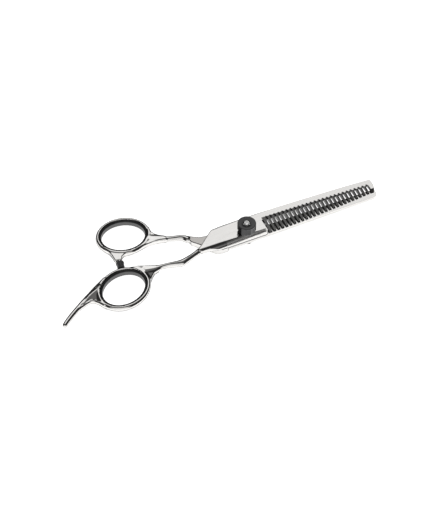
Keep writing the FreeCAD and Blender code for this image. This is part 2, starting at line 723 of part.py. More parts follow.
def tension_knob():
    """The moulded knob that sets how tightly the blades are held."""
    ceiling = PLATE_BOTTOM + PLATE_THICKNESS + 0.05
    base_r = KNOB_R - 0.35
    rim_drop = 0.45
    profile = polygon([
        Vector(0, 0, KNOB_BOTTOM), Vector(base_r, 0, KNOB_BOTTOM), Vector(KNOB_R, 0, KNOB_BOTTOM + 0.9),
        Vector(KNOB_R, 0, KNOB_TOP - rim_drop), Vector(KNOB_R - 0.55, 0, KNOB_TOP), Vector(0, 0, KNOB_TOP),
    ])
    body = Part.Face(profile).revolve(Vector(0, 0, 0), Vector(0, 0, 1), 360)
    cutters = [
        disc(KNOB_CAVITY_R, KNOB_BOTTOM - 1.0, ceiling),
        disc(CORE_R, ceiling - 1.0, RECESS_FLOOR),
        disc(RECESS_R, RECESS_FLOOR, KNOB_TOP + 1.0),
        Part.makeCone(RECESS_R - 0.1, DISH_R, DISH_DEPTH, Vector(0, 0, KNOB_TOP - DISH_DEPTH)),
    ]
    flute_r = 0.7
    for index in range(KNOB_FLUTES):
        angle = 2 * math.pi * (index + 0.5) / KNOB_FLUTES
        reach = KNOB_R + flute_r - 0.22
        foot = Vector(reach * math.cos(angle), reach * math.sin(angle), KNOB_BOTTOM - 1.0)
        cutters.append(Part.makeCylinder(flute_r, KNOB_TOP - KNOB_BOTTOM + 0.4, foot))
    for centre in ball_centres():
        cutters.append(Part.makeCylinder(BALL_R + 0.05, 1.9, centre - Vector(0, 0, 0.5)))
    return body.cut(cutters)


def cap_screw():
    """The domed screw that keeps the knob from coming off."""
    bottom = 8.7
    shank_part = disc(CAP_SHANK_R, bottom, SCREW_END_Z)
    edge_z = SCREW_END_Z + 0.35
    profile = Part.Wire([
        Part.makeLine(Vector(0, 0, SCREW_END_Z), Vector(CAP_HEAD_R, 0, SCREW_END_Z)),
        Part.makeLine(Vector(CAP_HEAD_R, 0, SCREW_END_Z), Vector(CAP_HEAD_R, 0, edge_z)),
        arc(Vector(CAP_HEAD_R, 0, edge_z), Vector(CAP_HEAD_R * 0.66, 0, CAP_TOP - 0.32), Vector(0, 0, CAP_TOP)),
        Part.makeLine(Vector(0, 0, CAP_TOP), Vector(0, 0, SCREW_END_Z)),
    ])
    head = Part.Face(profile).revolve(Vector(0, 0, 0), Vector(0, 0, 1), 360)
    arms = [
        Part.makeBox(1.5, 0.32, 1.0, Vector(-0.75, -0.16, CAP_TOP - 0.5)),
        Part.makeBox(0.32, 1.5, 1.0, Vector(-0.16, -0.75, CAP_TOP - 0.5)),
    ]
    return head.fuse(shank_part).cut(arms)


def build():
    """Every node's shape by name."""
    finger_insert = rubber_insert(FINGER_RING)
    thumb_insert = rubber_insert(THUMB_RING)
    stud = bumper_stud()
    return {
        "comb_blade": comb_blade(),
        "finger_handle": finger_handle(finger_insert),
        "finger_insert": finger_insert,
        "pivot_bush": pivot_bush(),
        "glide_washer": glide_washer(),
        "edge_blade": edge_blade(),
        "thumb_handle": thumb_handle(thumb_insert, stud),
        "thumb_insert": thumb_insert,
        "bumper_stud": stud,
        "bumper_pad": bumper_pad(stud),
        "pivot_screw": pivot_screw(),
        "base_washer": base_washer(),
        "tension_spring": tension_spring(),
        "click_plate": click_plate(),
        "click_balls": click_balls(),
        "click_springs": click_springs(),
        "knob_core": knob_core(),
        "tension_knob": tension_knob(),
        "knob_cap_screw": cap_screw(),
    }


def main():
    os.makedirs("parts", exist_ok=True)
    for name, shape in build().items():
        box = shape.BoundBox
        print(
            f"{name:16s} solids {len(shape.Solids)} valid {shape.isValid()} volume {shape.Volume:9.2f} "
            f"x {box.XMin:7.2f} {box.XMax:7.2f}  y {box.YMin:7.2f} {box.YMax:7.2f}  z {box.ZMin:5.2f} {box.ZMax:5.2f}"
        )
        shape.exportStep(f"parts/{name}.step")


main()
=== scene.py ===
import math

import bpy
import numpy as np
from mathutils import Matrix, Vector


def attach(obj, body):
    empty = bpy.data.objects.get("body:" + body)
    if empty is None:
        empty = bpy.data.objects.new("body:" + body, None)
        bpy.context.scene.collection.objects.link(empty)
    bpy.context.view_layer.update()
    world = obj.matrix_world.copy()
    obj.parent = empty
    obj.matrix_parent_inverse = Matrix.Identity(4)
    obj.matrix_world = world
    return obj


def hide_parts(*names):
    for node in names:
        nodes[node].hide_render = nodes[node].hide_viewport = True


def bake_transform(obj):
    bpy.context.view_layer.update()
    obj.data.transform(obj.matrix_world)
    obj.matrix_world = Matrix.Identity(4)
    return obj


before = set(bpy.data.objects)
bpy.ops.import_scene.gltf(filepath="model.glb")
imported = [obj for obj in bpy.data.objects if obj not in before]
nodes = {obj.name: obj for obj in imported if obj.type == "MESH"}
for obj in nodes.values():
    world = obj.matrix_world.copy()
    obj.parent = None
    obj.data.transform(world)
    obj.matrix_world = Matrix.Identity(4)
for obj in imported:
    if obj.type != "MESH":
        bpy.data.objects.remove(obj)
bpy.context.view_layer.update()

# Hair thinning shears on a white table. Lengths are in millimetres in this file's tables and
# functions, and become metres when a mesh is made.
MM = 0.001
CELL = 0.3                 # grid step of the sculpted handles
KNOB_CELL = 0.13
PAD_CELL = 0.16
CAP_CELL = 0.07
SLOPE_STEP = 0.01          # settling a mesh: step for the slope, least slope, longest move
LEAST_SLOPE = 0.2
LONGEST_MOVE = 0.15
FLAT_DROP = 0.004          # keeps a sculpted flat just under the blade face it runs on from

# ---- the flat ends of the two halves ----
COMB_TOP = 6.6
COMB_BOTTOM = 3.65
EDGE_TOP = 3.6
EDGE_BOTTOM = 0.6
LOWER_Y = -3.8
SPINE_Y = 8.4
RELIEF_WIDTH = 0.9         # shallow relief along the comb's far edge
RELIEF_SLOPE = 0.45
RELIEF_SLOPE_LENGTH = 1.1
RELIEF_START_X = -18.0
RELIEF_END_X = 24.0
FLANK_START = (-30.0, -1.3)  # crest of the finger handle's rounded flank, x and y
FLANK_LENGTH = 19.0
FLANK_FALL = 0.34
FLANK_FOOT = 0.2           # the flank's foot above the comb's underside
FLANK_BULGE = (0.35, 0.55)  # the crest's share in the arc's middle point, across and up
FLANK_LAP = 0.5
BLADE_OVERLAP = 0.6        # how far a sculpted handle runs on inside its blade
JOINT_X = -12.0
FINGER_FLAT = [
    (-11.0, 8.4), (-15.3, 8.0), (-16.8, 6.9), (-24.2, 0.6), (-26.4, -1.6),
    (-25.0, -2.5), (-21.5, -2.6), (-18.6, -3.2), (-16.2, -3.8), (-11.0, -3.8),
]
THUMB_FLAT = [
    (-11.0, 7.6), (-18.5, 8.0), (-21.5, 8.6), (-24.6, 10.6), (-27.4, 12.6),
    (-26.2, 7.2), (-23.4, 4.0), (-18.8, -1.4), (-17.4, -3.2), (-14.9, -3.8), (-11.0, -3.8),
]

# ---- finger rings ----
RING_MID_Z = 2.3
RING_INNER = -0.25         # reach of the metal inward and outward of the rim line
RING_OUTER = 2.25
RING_CREST = 1.05          # the highest line of the metal, just outside the rubber bead
RING_RISE = 1.4
RING_DEPTH = 1.6
SEAT_REACH = 0.62          # how far the rubber's two beads lap over the metal
SEAT_HALF_HEIGHT = 0.65    # where they start above and below the ring's middle
THUMB_RING = {"centre": (-54.5, 25.5), "semi": (11.35, 9.8), "tilt": -8.0}
FINGER_RING = {"centre": (-67.1, -5.8), "semi": (11.9, 9.65), "tilt": 27.0}

# ---- bars: x, y, z of the centre line, half width, half height ----
FINGER_SHANK = [
    (-22.0, 0.2, 5.10, 1.7, 1.4),
    (-24.8, -0.9, 5.00, 1.6, 1.5),
    (-28.9, -2.0, 4.45, 1.45, 1.5),
    (-33.2, -2.8, 3.65, 1.6, 1.6),
    (-36.0, -3.1, 3.25, 1.9, 1.65),
    (-38.8, -2.3, 2.90, 1.55, 1.6),
    (-42.0, -1.3, 2.60, 1.3, 1.45),
    (-45.5, -0.7, 2.40, 1.35, 1.4),
    (-49.0, -0.4, 2.30, 1.9, 1.4),
    (-53.0, 0.4, 2.30, 2.0, 1.4),
]
FINGER_REST = [
    (-73.5, 3.0, 2.30, 1.3, 1.4),
    (-78.0, 0.2, 2.30, 1.7, 1.45),
    (-82.0, -2.4, 2.25, 1.8, 1.4),
    (-86.0, -4.6, 2.20, 1.6, 1.3),
    (-90.0, -7.0, 2.10, 1.4, 1.2),
    (-94.5, -9.95, 2.00, 1.35, 1.2),
    (-98.5, -12.95, 1.95, 1.3, 1.2),
    (-100.2, -14.4, 1.90, 1.2, 1.15),
]
THUMB_SHANK = [
    (-27.0, 10.3, 2.5, 1.8, 1.6),
    (-28.9, 12.2, 2.60, 1.5, 1.7),
    (-33.0, 13.9, 2.45, 1.45, 1.4),
    (-36.5, 15.2, 2.35, 1.5, 1.35),
    (-40.0, 16.8, 2.30, 2.0, 1.4),
    (-44.0, 18.6, 2.30, 2.2, 1.4),
]
REST_BRACE = [
    (-90.5, -8.3, 2.0, 0.7, 1.0),
    (-86.0, -6.9, 2.1, 0.7, 1.1),
    (-83.2, -7.0, 2.2, 0.7, 1.2),
    (-81.2, -8.9, 2.3, 0.7, 1.3),
    (-79.6, -11.6, 2.3, 0.7, 1.3),
]

# ---- webs between bars and rings: outline, half height, edge rounding ----
FINGER_WEB = [
    (-47.5, 0.9), (-49.5, 1.5), (-52.7, 2.7), (-55.9, 3.8), (-59.0, 4.2), (-57.0, -1.0),
    (-53.6, -6.4), (-52.6, -5.3), (-51.4, -3.9), (-49.8, -2.6), (-47.5, -2.0),
]
REST_WEB = [
    (-88.0, -6.9), (-85.0, -6.1), (-82.4, -6.3), (-80.6, -8.0), (-79.5, -10.6), (-78.6, -12.8),
    (-77.5, -8.0), (-76.0, 0.0), (-84.0, -3.6),
]
THUMB_WEB = [
    (-36.2, 16.6), (-38.1, 17.9), (-39.9, 19.7), (-41.0, 21.9), (-41.2, 25.2), (-43.5, 20.0),
    (-52.0, 14.6), (-47.4, 14.8), (-43.5, 15.1), (-39.9, 14.7), (-36.5, 13.9),
]
LUG_WEB = [
    (-66.4, 22.0), (-65.3, 19.2), (-64.6, 15.8), (-64.4, 11.6), (-60.9, 10.9),
    (-60.3, 12.7), (-58.1, 13.9), (-54.5, 13.95), (-60.0, 16.5),
]
WEB_HALF_HEIGHT = 1.35
WEB_ROUNDING = 0.5
WEB_LEAN = 0.22            # rise of the finger handle's webs towards the far side
BLEND = 0.9                # fillet size where forged shapes run together
BAR_BLEND = 0.1
BRACE_BLEND = 0.5
FLAT_BLEND = 0.35
FINGER_FLAT_EDGE = 0.2     # rounding of the flats' edges
THUMB_FLAT_EDGE = 0.25

# ---- pivot knob ----
KNOB_R = 4.55
KNOB_BOTTOM = 6.95
KNOB_TOP = 12.2
KNOB_TAPER = 0.35
KNOB_TAPER_HEIGHT = 0.9
KNOB_EDGE = 0.3
KNOB_FLUTES = 12
FLUTE_DEPTH = 0.22
FLUTE_START = 0.45         # below the knob's top
FLUTE_RUN_IN = 0.3
KNOB_CAVITY_R = 3.3
KNOB_CAVITY_TOP = 8.27
DISH_R = 3.3
DISH_FLOOR_R = 1.65
DISH_DEPTH = 0.25
DISH_EDGE = 0.12
CAP_HEAD_R = 1.4
CAP_BOTTOM = 11.9
CAP_TOP = 13.2
CAP_DOME_R = 1.5
CAP_EDGE = 0.1
CROSS_HALF_WIDTH = 0.13
CROSS_REACH = 0.65
CROSS_DEPTH = 0.5

# ---- spring washer under the knob: radius and height round its section ----
SPRING_SECTION = [(1.6, 7.62), (3.0, 6.94), (3.0, 7.16), (1.6, 7.84)]
SPRING_SEGMENTS = 96

# ---- bumper ----
BUMPER_START = (-62.35, 11.0, 2.3)
BUMPER_DIRECTION = (-0.21, -1.0)
COLLAR_LENGTH = 0.7
PAD_LENGTH = 3.9
PAD_R = 1.8
PAD_EDGE = 0.5
FLANGE_R = 2.02
FLANGE_HALF_LENGTH = 0.5
FLANGE_MIDDLE = 0.55       # along from the collar's end
FLANGE_EDGE = 0.3
FLANGE_BLEND = 0.2

# ---- where the blades are given painted shade and a painted dark reflection ----
SLOT_WALLS_X = (9.4, 69.4)
SLOT_WALLS_FAR_Y = 6.2
RELIEF_NEAR_Y = 7.2
GAP_LINE_FAR_Y = -3.5
GAP_LINE_LOW_Z = 3.1
GAP_LINE_END_X = 9.5
# painted shade on the comb's slot walls and a painted dark reflection on the far-edge relief
PAINTED_DARK_TONE = (0.05, 0.05, 0.05)
# painted shadow in the gap between the two blades
GAP_SHADOW_TONE = (0.06, 0.06, 0.06)
# painted dark reflection on polished steel turning away from the eye
DARK_ROOM_REFLECTION_TONE = (0.04, 0.04, 0.04)
# painted reflection of the table's light on the low inner wall of the rubber inserts
PAINTED_TABLE_LIGHT_TONE = (0.13, 0.13, 0.13)

# ---- the ground faces that run on into the blades ----
FINGER_GROUND_X = -27.0
THUMB_GROUND_X = -28.0
LEVEL_NORMAL = 0.99        # a face counts as ground when it is this level, this near the height
LEVEL_REACH = 0.02

# ---- camera ----
CAMERA_TURN = 25.0         # degrees round from square on to the shears
CAMERA_ELEVATION = 48.0
CAMERA_REACH = 720.0
CAMERA_SENSOR = 36.0
CAMERA_LENS = 104.2875
PIVOT_HEIGHT = 7.0
PIVOT_RIGHT = 13.641       # the pivot's place in the view, right of and above the middle
PIVOT_ABOVE = 12.524

# ---- light: (turn, elevation) of each panel's middle, full to, none past, strength ----
ROOM_GREY = 0.03
PANELS = [
    ((0.0, 51.0), 11.0, 20.0, 1.15),
    ((180.0, 24.0), 28.0, 42.0, 1.0),
    ((0.0, 80.0), 12.0, 24.0, 0.14),
]
TABLE_GLOW = 0.8           # the table's own light
LAMPS = [                  # name, (turn, elevation), distance, size in metres, watts
    ("lamp_over", (0.0, 80.0), 1.2, 2.0, 9.0),
    ("lamp_beyond", (-20.0, 50.0), 1.2, 1.0, 1.5),
]


# ---------------------------------------------------------------- distance fields

def oval(across, up, half_width, half_height):
    """Nearly the distance to an ellipse, negative inside."""
    near = np.hypot(across / half_width, up / half_height)
    slope = np.hypot(across / half_width ** 2, up / half_height ** 2)
    return near * (near - 1.0) / np.maximum(slope, 1e-6)


def join(a, b, size):
    """Two shapes run together with a fillet."""
    mix = np.clip(0.5 + 0.5 * (b - a) / size, 0.0, 1.0)
    return b * (1.0 - mix) + a * mix - size * mix * (1.0 - mix)


def meet(a, b, size):
    """What two shapes share, its edge rounded over."""
    return -join(-a, -b, size)


def smooth_line(points, steps):
    """Points on a curve through the given ones; every column is carried along."""
    knots = np.array(points, dtype=float)
    ends = np.vstack([2 * knots[0] - knots[1], knots, 2 * knots[-1] - knots[-2]])
    out = []
    for i in range(len(knots) - 1):
        p0, p1, p2, p3 = ends[i:i + 4]
        for t in np.arange(steps) / steps:
            out.append(0.5 * (2 * p1 + (p2 - p0) * t + (2 * p0 - 5 * p1 + 4 * p2 - p3) * t ** 2
                              + (3 * p1 - p0 - 3 * p2 + p3) * t ** 3))
    out.append(knots[-1])
    return np.array(out)


def nearest_on_line(x, y, line):
    """For each plan point, its distance to a line and the line's other columns there."""
    best = np.full(np.shape(x), np.inf)
    carried = [np.zeros(np.shape(x)) for _ in range(line.shape[1] - 2)]
    for a, b in zip(line[:-1], line[1:]):
        step = b[:2] - a[:2]
        t = np.clip(((x - a[0]) * step[0] + (y - a[1]) * step[1]) / max(step @ step, 1e-9), 0.0, 1.0)
        gap = np.hypot(x - a[0] - t * step[0], y - a[1] - t * step[1])
        closer = gap < best
        best = np.where(closer, gap, best)
        for column, values in enumerate(carried):
            here = a[2 + column] + t * (b[2 + column] - a[2 + column])
            carried[column] = np.where(closer, here, values)
    return best, carried


def outline_distance(x, y, corners):
    """Plan distance to a closed outline, negative inside."""
    best = np.full(np.shape(x), np.inf)
    inside = np.zeros(np.shape(x), dtype=bool)
    loop = np.vstack([corners, corners[:1]])
    for a, b in zip(loop[:-1], loop[1:]):
        step = b - a
        t = np.clip(((x - a[0]) * step[0] + (y - a[1]) * step[1]) / max(step @ step, 1e-9), 0.0, 1.0)
        best = np.minimum(best, np.hypot(x - a[0] - t * step[0], y - a[1] - t * step[1]))
        crosses = (a[1] > y) != (b[1] > y)
        at_x = a[0] + (y - a[1]) * step[0] / (step[1] if abs(step[1]) > 1e-9 else 1e-9)
        inside ^= crosses & (x < at_x)
    return np.where(inside, -best, best)


def ring_outward(x, y, ring):
    """Plan distance outward from a finger ring's rim line."""
    turn = math.radians(ring["tilt"])
    dx, dy = x - ring["centre"][0], y - ring["centre"][1]
    u = dx * math.cos(turn) + dy * math.sin(turn)
    v = -dx * math.sin(turn) + dy * math.cos(turn)
    a, b = ring["semi"]
    loop = [(a * math.cos(t), b * math.sin(t)) for t in np.linspace(0, 2 * math.pi, 121)]
    gap, _ = nearest_on_line(u, v, np.array(loop))
    return np.where(np.hypot(u / a, v / b) < 1.0, -gap, gap)


def ring_field(x, y, z, ring):
    """The forged loop of a finger ring, before its rubber seat is cut."""
    across = ring_outward(x, y, ring) - RING_CREST
    up = z - RING_MID_Z
    half_width = np.where(across > 0, RING_OUTER - RING_CREST, RING_CREST - RING_INNER)
    half_height = np.where(up > 0, RING_RISE, RING_DEPTH)
    return oval(across, up, half_width, half_height)


def seat_field(x, y, z, ring):
    """The room the rubber insert takes: everything inside the rim line."""
    outward = ring_outward(x, y, ring)
    beads = np.maximum(outward - SEAT_REACH, SEAT_HALF_HEIGHT - np.abs(z - RING_MID_Z))
    return np.minimum(outward - RING_INNER, beads)


def bar_field(x, y, z, stations):
    """A forged bar through oval stations."""
    gap, (mid, half_width, half_height) = nearest_on_line(x, y, smooth_line(stations, 6))
    return oval(gap, z - mid, half_width, half_height)


def plate_field(x, y, z, outline, lean=0.0, level_y=0.0):
    """A flat web with rounded edges, which may lean across the handle."""
    half_height, rounding = WEB_HALF_HEIGHT, WEB_ROUNDING
    side = outline_distance(x, y, np.array(outline)) + rounding
    face = np.abs(z - RING_MID_Z - lean * (y - level_y)) - (half_height - rounding)
    outside = np.hypot(np.maximum(side, 0.0), np.maximum(face, 0.0))
    return np.minimum(np.maximum(side, face), 0.0) + outside - rounding


def flank_field(x, y, z, crest_y, crest_z, foot_z):
    """Distance past the rounded lower flank of a half."""
    share_y, share_z = FLANK_BULGE
    bulge_y = share_y * crest_y + (1.0 - share_y) * LOWER_Y
    bulge_z = share_z * crest_z + (1.0 - share_z) * foot_z
    ax, az = LOWER_Y - crest_y, foot_z - crest_z
    bx, bz = bulge_y - crest_y, bulge_z - crest_z
    cross = 2.0 * (ax * bz - az * bx)
    a2, b2 = ax ** 2 + az ** 2, bx ** 2 + bz ** 2
    centre_y = crest_y + (bz * a2 - az * b2) / cross
    centre_z = crest_z + (ax * b2 - bx * a2) / cross
    radius = np.hypot(crest_y - centre_y, crest_z - centre_z)
    past = np.hypot(y - centre_y, z - centre_z) - radius
    beside = np.where(crest_z > foot_z, z - centre_z, centre_z - z)
    return np.where(((y < centre_y) | (beside > 0)) & (y < crest_y + FLANK_LAP), past, -1.0)


# ---------------------------------------------------------------- meshing a field

def crossing_totals(values):
    """For each cell, the sum and the count of the places where the surface cuts its edges."""
    shape = values.shape
    total = np.zeros([n - 1 for n in shape] + [3])
    count = np.zeros([n - 1 for n in shape])
    for axis in range(3):
        others = [i for i in range(3) if i != axis]
        for du in (0, 1):
            for dv in (0, 1):
                first = [slice(0, n - 1) for n in shape]
                first[others[0]] = slice(du, shape[others[0]] - 1 + du)
                first[others[1]] = slice(dv, shape[others[1]] - 1 + dv)
                second = list(first)
                second[axis] = slice(1, shape[axis])
                a, b = values[tuple(first)], values[tuple(second)]
                crosses = (a < 0) != (b < 0)
                t = np.where(crosses, a / np.where(crosses, a - b, 1.0), 0.0)
                total[..., axis] += np.where(crosses, t, 0.0)
                total[..., others[0]] += np.where(crosses, du, 0.0)
                total[..., others[1]] += np.where(crosses, dv, 0.0)
                count += crosses
    return total, count


def surface_quads(inside, number):
    """One outward facing quad for each grid step that the surface crosses."""
    shape = inside.shape
    quads = []
    for axis in range(3):
        u, v = (axis + 1) % 3, (axis + 2) % 3
        span = [slice(1, n - 1) for n in shape]
        span[axis] = slice(0, shape[axis] - 1)
        ahead = list(span)
        ahead[axis] = slice(1, shape[axis])
        start, end = inside[tuple(span)], inside[tuple(ahead)]
        for flips, order in ((start & ~end, (0, 1, 2, 3)), (~start & end, (3, 2, 1, 0))):
            corner = np.argwhere(flips) + np.array([0 if i == axis else 1 for i in range(3)])
            ring = []
            for du, dv in ((-1, -1), (0, -1), (0, 0), (-1, 0)):
                at = corner.copy()
                at[:, u] += du
                at[:, v] += dv
                ring.append(number[at[:, 0], at[:, 1], at[:, 2]])
            quads.append(np.stack([ring[i] for i in order], axis=1))
    return np.vstack(quads)


def field_mesh(field, low, high, cell):
    """The surface where a field is zero, as points (mm) and quads."""
    axes = [np.arange(a, b + cell, cell) for a, b in zip(low, high)]
    gx, gy, gz = axes[0][:, None, None], axes[1][None, :, None], axes[2][None, None, :]
    plan_x = np.broadcast_to(gx, (len(axes[0]), len(axes[1]), 1))
    plan_y = np.broadcast_to(gy, (len(axes[0]), len(axes[1]), 1))
    values = np.broadcast_to(field(plan_x, plan_y, gz), [len(a) for a in axes])
    total, count = crossing_totals(values)
    used = count > 0
    number = np.full(used.shape, -1)
    number[used] = np.arange(used.sum())
    points = np.array(low) + (np.argwhere(used) + total[used] / count[used][:, None]) * cell
    return points, surface_quads(values < 0, number)


def settle(field, points, rounds):
    """Moves points onto the zero surface along the field's slope."""
    step = SLOPE_STEP
    for _ in range(rounds):
        x, y, z = points.T
        here = field(x, y, z)
        slope = np.stack([
            field(x + step, y, z) - field(x - step, y, z),
            field(x, y + step, z) - field(x, y - step, z),
            field(x, y, z + step) - field(x, y, z - step),
        ], axis=1) / (2 * step)
        size = np.maximum((slope ** 2).sum(axis=1), LEAST_SLOPE)
        points = points - np.clip(here / size, -LONGEST_MOVE, LONGEST_MOVE)[:, None] * slope
    return points


def sculpt(name, field, low, high, cell, rounds=2):
    """A smooth-shaded object from a field."""
    points, quads = field_mesh(field, low, high, cell)
    points = settle(field, points, rounds)
    mesh = bpy.data.meshes.new(name)
    mesh.from_pydata((points * MM).tolist(), [], quads.tolist())
    mesh.polygons.foreach_set("use_smooth", [True] * len(mesh.polygons))
    mesh.update()
    made = bpy.data.objects.new(name, mesh)
    bpy.context.scene.collection.objects.link(made)
    return made


# ---------------------------------------------------------------- the sculpted pieces

def finger_flat(x, y, z):
    """The flat end of the finger handle with its rounded lower flank."""
    side = outline_distance(x, y, np.array(FINGER_FLAT))
    slab = np.maximum(z - (COMB_TOP - FLAT_DROP), COMB_BOTTOM + FLAT_DROP - z)
    crest_y = FLANK_START[1] - FLANK_FALL * (x - FLANK_START[0]) / FLANK_LENGTH
    flank = flank_field(x, y, z, crest_y, COMB_TOP, COMB_BOTTOM + FLANK_FOOT)
    fading = (RELIEF_END_X - x) / (RELIEF_END_X - RELIEF_START_X)
    past_relief = y - SPINE_Y + RELIEF_WIDTH * fading
    relief = (z - COMB_TOP + RELIEF_SLOPE * past_relief) / RELIEF_SLOPE_LENGTH
    return np.maximum(np.maximum(meet(slab, side, FINGER_FLAT_EDGE), flank), relief)


def finger_field(x, y, z):
    """The whole finger handle."""
    bars = join(bar_field(x, y, z, FINGER_SHANK), bar_field(x, y, z, FINGER_REST), BAR_BLEND)
    bars = join(bars, bar_field(x, y, z, REST_BRACE), BRACE_BLEND)
    web = plate_field(x, y, z, FINGER_WEB, WEB_LEAN, 1.0)
    rest_web = plate_field(x, y, z, REST_WEB, WEB_LEAN, -4.0)
    forged = join(bars, np.minimum(web, rest_web), BLEND)
    forged = join(forged, ring_field(x, y, z, FINGER_RING), BLEND)
    forged = join(forged, finger_flat(x, y, z), FLAT_BLEND)
    forged = np.maximum(forged, -seat_field(x, y, z, FINGER_RING))
    return np.maximum(forged, x - (JOINT_X + BLADE_OVERLAP))


def thumb_flat(x, y, z):
    """The flat end of the thumb handle."""
    side = outline_distance(x, y, np.array(THUMB_FLAT))
    slab = np.maximum(z - (EDGE_TOP - FLAT_DROP), EDGE_BOTTOM + FLAT_DROP - z)
    return meet(slab, side, THUMB_FLAT_EDGE)


def thumb_field(x, y, z):
    """The whole thumb handle."""
    web = plate_field(x, y, z, THUMB_WEB)
    lug = plate_field(x, y, z, LUG_WEB)
    forged = join(bar_field(x, y, z, THUMB_SHANK), np.minimum(web, lug), BLEND)
    forged = join(forged, ring_field(x, y, z, THUMB_RING), BLEND)
    forged = join(forged, thumb_flat(x, y, z), FLAT_BLEND)
    forged = np.maximum(forged, -seat_field(x, y, z, THUMB_RING))
    return np.maximum(forged, x - (JOINT_X + BLADE_OVERLAP))


def knob_field(x, y, z):
    """The fluted tension knob, dished on top."""
    radius = np.hypot(x, y)
    below_top = KNOB_TOP - z
    wave = 0.5 - 0.5 * np.cos(KNOB_FLUTES * np.arctan2(y, x))
    flute = FLUTE_DEPTH * wave * np.clip((below_top - FLUTE_START) / FLUTE_RUN_IN, 0.0, 1.0)
    taper = KNOB_TAPER * np.clip((KNOB_BOTTOM + KNOB_TAPER_HEIGHT - z) / KNOB_TAPER_HEIGHT, 0.0, 1.0)
    side = radius - KNOB_R + taper + flute
    body = meet(side, np.maximum(-below_top, KNOB_BOTTOM - z), KNOB_EDGE)
    slope = DISH_DEPTH / (DISH_R - DISH_FLOOR_R)
    dish = (radius - DISH_R) * slope + below_top
    dish = np.maximum(dish, below_top - DISH_DEPTH)
    body = meet(body, -dish, DISH_EDGE)
    body = np.maximum(body, DISH_FLOOR_R - radius)
    return np.maximum(body, -np.maximum(radius - KNOB_CAVITY_R, z - KNOB_CAVITY_TOP))


def cap_field(x, y, z):
    """The domed centre screw with its cross recess."""
    radius = np.sqrt(x ** 2 + y ** 2 + (z - (CAP_TOP - CAP_DOME_R)) ** 2)
    dome = meet(radius - CAP_DOME_R, np.hypot(x, y) - CAP_HEAD_R, CAP_EDGE)
    near, far = np.minimum(np.abs(x), np.abs(y)), np.maximum(np.abs(x), np.abs(y))
    cross = np.maximum(near - CROSS_HALF_WIDTH, far - CROSS_REACH)
    cross = np.maximum(cross, CAP_TOP - CROSS_DEPTH - z)
    return np.maximum(np.maximum(dome, CAP_BOTTOM - z), -cross)


def pad_field(x, y, z):
    """The rubber bumper with its flange and rounded end."""
    dx, dy = BUMPER_DIRECTION
    size = math.hypot(dx, dy)
    dx, dy = dx / size, dy / size
    along = (x - BUMPER_START[0]) * dx + (y - BUMPER_START[1]) * dy
    across = (x - BUMPER_START[0]) * -dy + (y - BUMPER_START[1]) * dx
    radius = np.hypot(across, z - BUMPER_START[2])
    ends = np.maximum(along - PAD_LENGTH - COLLAR_LENGTH, COLLAR_LENGTH - along)
    body = meet(radius - PAD_R, ends, PAD_EDGE)
    flange_ends = np.abs(along - COLLAR_LENGTH - FLANGE_MIDDLE) - FLANGE_HALF_LENGTH
    flange = meet(radius - FLANGE_R, flange_ends, FLANGE_EDGE)
    return join(body, flange, FLANGE_BLEND)


# ---------------------------------------------------------------- materials

def node(tree, kind, **sockets):
    """A node with its named inputs set."""
    made = tree.nodes.new(kind)
    for key, value in sockets.items():
        made.inputs[key.replace("_", " ")].default_value = value
    return made


def object_noise(tree, scale, detail=4.0, stretch=(1.0, 1.0, 1.0)):
    """A noise in the object's own space."""
    place = tree.nodes.new("ShaderNodeTexCoord")
    mapping = tree.nodes.new("ShaderNodeMapping")
    mapping.inputs["Scale"].default_value = stretch
    tree.links.new(place.outputs["Object"], mapping.inputs["Vector"])
    noise = node(tree, "ShaderNodeTexNoise", Scale=scale, Detail=detail)
    tree.links.new(mapping.outputs["Vector"], noise.inputs["Vector"])
    return noise.outputs["Fac"]


def between(tree, factor, low, high):
    """A value that runs from low to high with the factor."""
    made = node(tree, "ShaderNodeMapRange", From_Min=0.3, From_Max=0.7, To_Min=low, To_Max=high)
    tree.links.new(factor, made.inputs["Value"])
    return made.outputs["Result"]


def tones(tree, factor, dark, light):
    """A colour that runs from dark to light with the factor."""
    ramp = tree.nodes.new("ShaderNodeValToRGB")
    ramp.color_ramp.elements[0].position = 0.3
    ramp.color_ramp.elements[1].position = 0.7
    ramp.color_ramp.elements[0].color = (*dark, 1.0)
    ramp.color_ramp.elements[1].color = (*light, 1.0)
    tree.links.new(factor, ramp.inputs["Fac"])
    return ramp.outputs["Color"]


def material(name, metallic, dark, light, rough, scale, stretch=(1, 1, 1), bump=0.0, bump_scale=None):
    """A procedural surface: tone, roughness and relief all vary with noise."""
    made = bpy.data.materials.new(name)
    made.use_nodes = True
    tree = made.node_tree
    shader = tree.nodes["Principled BSDF"]
    shader.inputs["Metallic"].default_value = metallic
    grain = object_noise(tree, scale, stretch=stretch)
    tree.links.new(tones(tree, grain, dark, light), shader.inputs["Base Color"])
    tree.links.new(between(tree, grain, *rough), shader.inputs["Roughness"])
    if bump:
        relief = tree.nodes.new("ShaderNodeBump")
        relief.inputs["Distance"].default_value = bump * MM
        tree.links.new(object_noise(tree, bump_scale or scale, stretch=stretch), relief.inputs["Height"])
        tree.links.new(relief.outputs["Normal"], shader.inputs["Normal"])
    return made


def mix_tone(finish, share, tone):
    """Mixes a tone into a finish, fully where the share is one."""
    tree = finish.node_tree
    base = tree.nodes["Principled BSDF"].inputs["Base Color"]
    before = base.links[0].from_socket
    mix = tree.nodes.new("ShaderNodeMixRGB")
    mix.inputs["Color2"].default_value = (*tone, 1.0)
    tree.links.new(share, mix.inputs["Fac"])
    tree.links.new(before, mix.inputs["Color1"])
    tree.links.new(mix.outputs["Color"], base)


